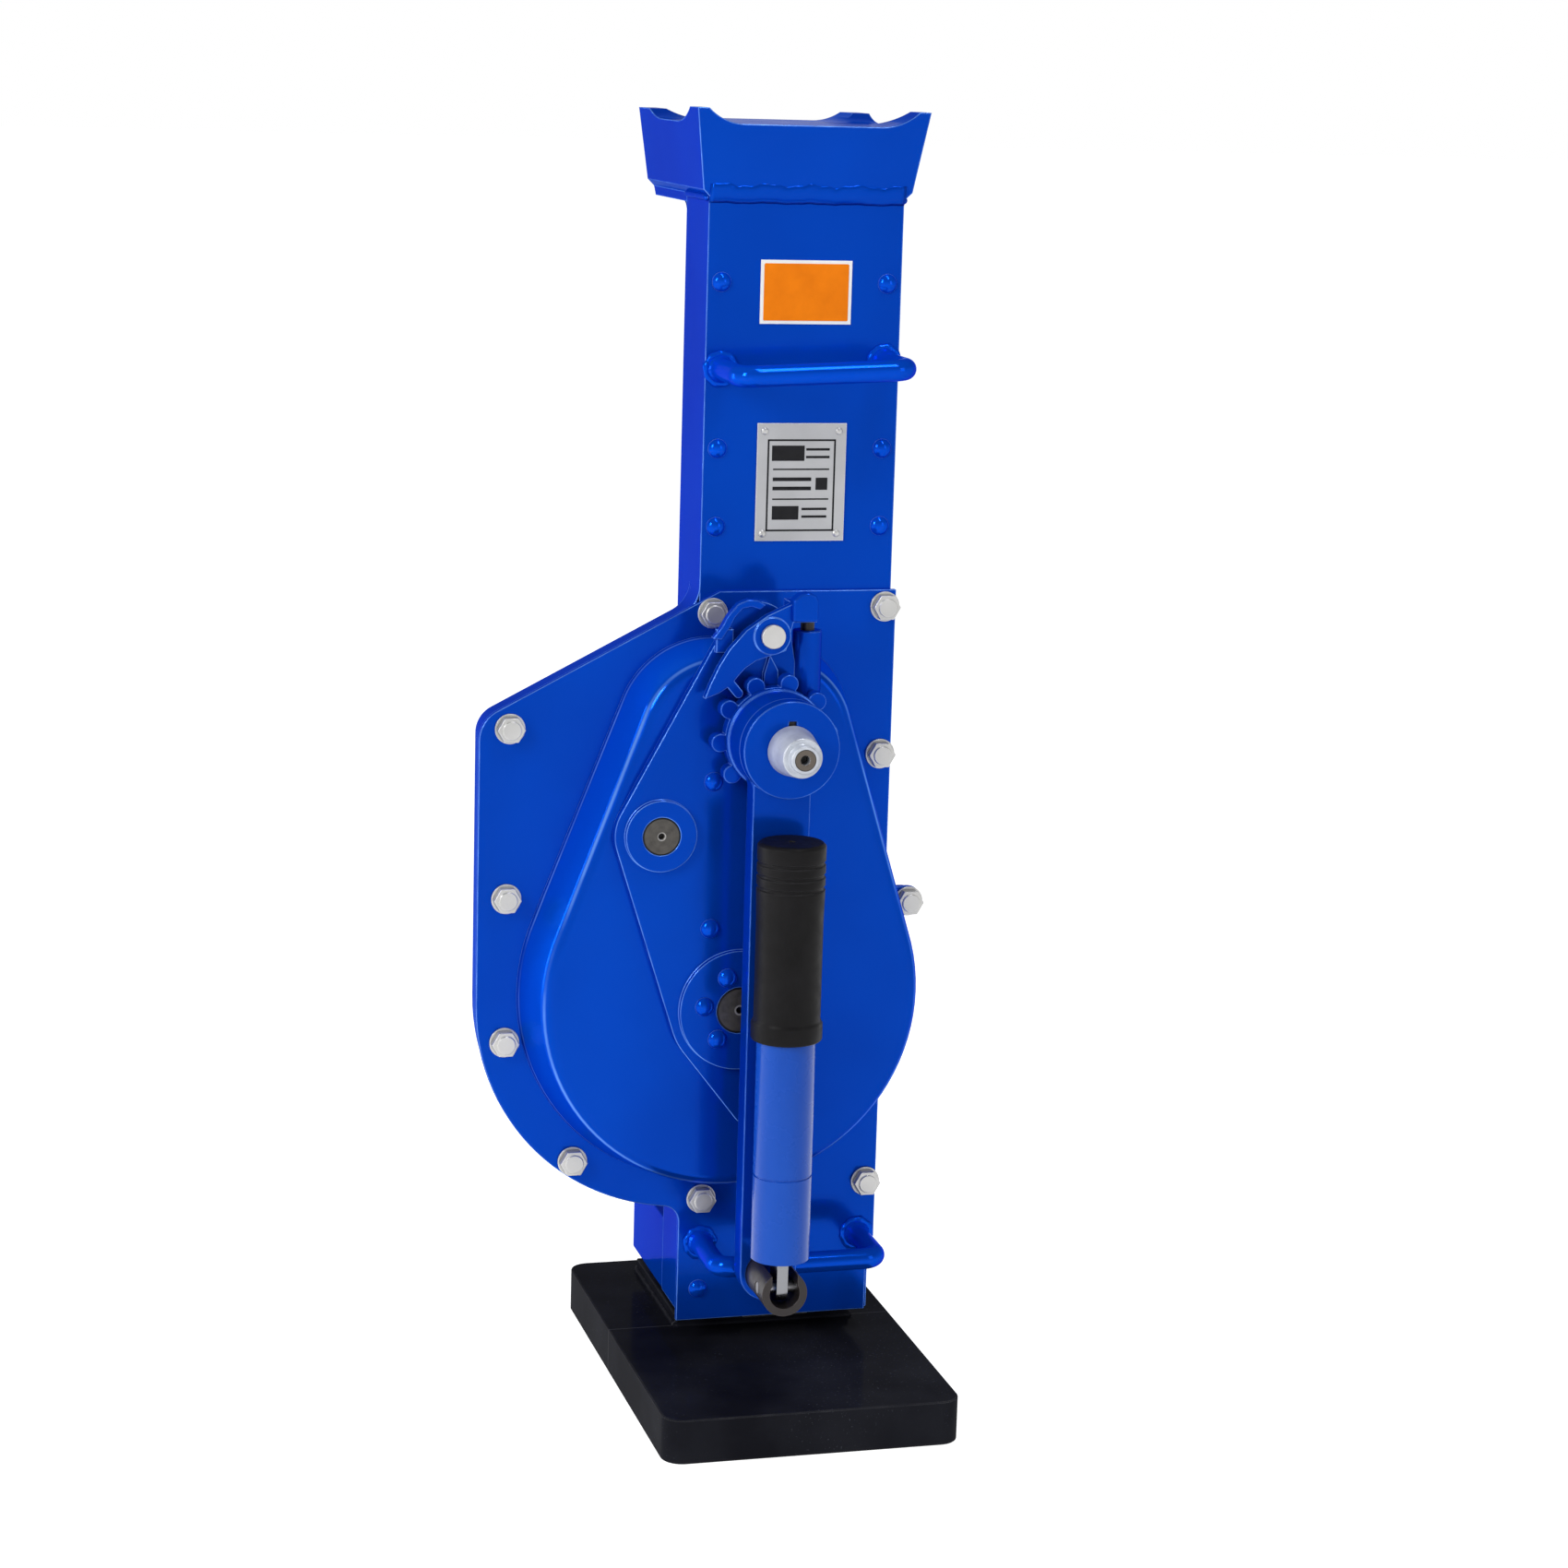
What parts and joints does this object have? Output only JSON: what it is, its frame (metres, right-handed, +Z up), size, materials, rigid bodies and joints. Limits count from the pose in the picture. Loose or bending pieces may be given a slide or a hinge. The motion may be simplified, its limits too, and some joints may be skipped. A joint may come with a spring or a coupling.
{
  "type": "mechanical rack jack",
  "caption": "Upright crank-operated mechanical jack: a tall steel casing with a gear case, horned lifting head and rear toe climbs a toothed rack on a heavy base plate.",
  "frame": {"origin": "centre of the underside of the base plate", "axes": "+Z up, +X to the right seen from the crank side, +Y from the crank side toward the rear lifting toe"},
  "size_m": [0.3035, 0.3103, 0.856],
  "materials": {
    "base_black": "semi-gloss black paint",
    "machined_steel": "oiled cut steel",
    "casing_blue": "glossy blue enamel",
    "plate_blue": "glossy blue enamel",
    "cover_blue": "glossy blue enamel on a cast cover",
    "bearing_blue": "glossy blue enamel",
    "carry_blue": "glossy blue enamel",
    "crank_blue": "glossy blue enamel on a forging",
    "rivet_blue": "glossy blue enamel",
    "ratchet_blue": "glossy blue enamel",
    "rod_blue": "satin blue coating",
    "bronze": "oiled bearing bronze",
    "inner_steel": "plain rolled steel",
    "zinc": "bright zinc plating",
    "shaft_steel": "ground steel",
    "spigot_steel": "bare turned steel",
    "black_steel": "blackened steel",
    "spring_steel": "oiled spring wire",
    "label_orange": "plain orange field with a white border",
    "name_silver": "satin plate with plain dark bars",
    "grip_rubber": "matte black rubber"
  },
  "bodies": {
    "stand": {"base_plate": "base_black", "foot_pad": "base_black", "rack_bar": "machined_steel"},
    "housing": {"column_casing": "casing_blue", "lifting_head": "casing_blue", "rear_toe": "casing_blue", "rack_guides": "bronze", "inner_web": "inner_steel", "front_plate": "plate_blue", "dome_cover": "cover_blue", "bearing_plate": "bearing_blue", "rear_bushes": "bronze", "case_bolts": "zinc", "case_washers": "zinc", "casing_rivets": "rivet_blue", "bearing_rivets": "rivet_blue", "label_plate": "label_orange", "name_plate": "name_silver", "name_plate_pins": "zinc", "upper_carry_handle": "carry_blue", "lower_carry_handle": "carry_blue", "spring_housing": "cover_blue", "pawl_pivot_bolt": "zinc", "pawl_spring": "spring_steel"},
    "crank": {"crank_arm": "crank_blue", "crank_shaft": "shaft_steel", "crank_pinion": "machined_steel", "crank_spigot": "spigot_steel", "drive_key": "black_steel", "handle_socket": "black_steel", "fold_pin": "shaft_steel"},
    "middle_gear": {"middle_shaft": "black_steel", "middle_wheel": "machined_steel", "middle_pinion": "machined_steel"},
    "output_gear": {"output_shaft": "black_steel", "output_wheel": "machined_steel", "rack_pinion": "machined_steel"},
    "ratchet": {"ratchet_wheel": "ratchet_blue"},
    "pawl": {"pawl_lever": "ratchet_blue"},
    "plunger": {"pawl_plunger": "black_steel"},
    "handle": {"handle_rod": "rod_blue"},
    "grip": {"handle_grip": "grip_rubber"}
  },
  "joints": [
    {"name": "lift", "type": "slide", "parent": "stand", "child": "housing", "axis": [0, 0, 1], "range_m": [0, 0.33]},
    {"name": "crank_turn", "type": "hinge", "parent": "housing", "child": "crank", "pos_m": [-0.02073, 0, 0.46029], "axis": [0, 1, 0], "range_deg": [0, 16740]},
    {"name": "middle_turn", "type": "hinge", "parent": "housing", "child": "middle_gear", "pos_m": [-0.09094, 0, 0.39482], "axis": [0, 1, 0], "range_deg": [-3870, 0]},
    {"name": "output_turn", "type": "hinge", "parent": "housing", "child": "output_gear", "pos_m": [-0.036, 0, 0.277], "axis": [0, 1, 0], "range_deg": [0, 790]},
    {"name": "ratchet_play", "type": "hinge", "parent": "housing", "child": "ratchet", "pos_m": [-0.02073, 0, 0.46029], "axis": [0, 1, 0], "range_deg": [-0.6, 0.6]},
    {"name": "pawl_swing", "type": "hinge", "parent": "housing", "child": "pawl", "pos_m": [-0.02393, 0, 0.52629], "axis": [0, 1, 0], "range_deg": [0, 12]},
    {"name": "plunger_slide", "type": "slide", "parent": "housing", "child": "plunger", "axis": [0, 0, -1], "range_m": [0, 0.0054], "stiffness_N_per_m": 60, "springref_m": -0.004, "deforming": ["pawl_spring"]},
    {"name": "handle_fold", "type": "hinge", "parent": "crank", "child": "handle", "pos_m": [-0.02073, -0.1293, 0.10729], "axis": [1, 0, 0], "range_deg": [0, 90]},
    {"name": "grip_spin", "type": "hinge", "parent": "handle", "child": "grip", "pos_m": [-0.02073, -0.1293, 0.3], "axis": [0, 0, 1], "continuous": true}
  ],
  "couplings": [
    {"joint": "lift", "follows": "crank_turn", "m_per_rad": 0.0011282},
    {"joint": "middle_turn", "follows": "crank_turn", "ratio": -0.23077},
    {"joint": "output_turn", "follows": "crank_turn", "ratio": 0.047009},
    {"joint": "pawl_swing", "follows": "plunger_slide", "rad_per_m": 35.46}
  ]
}
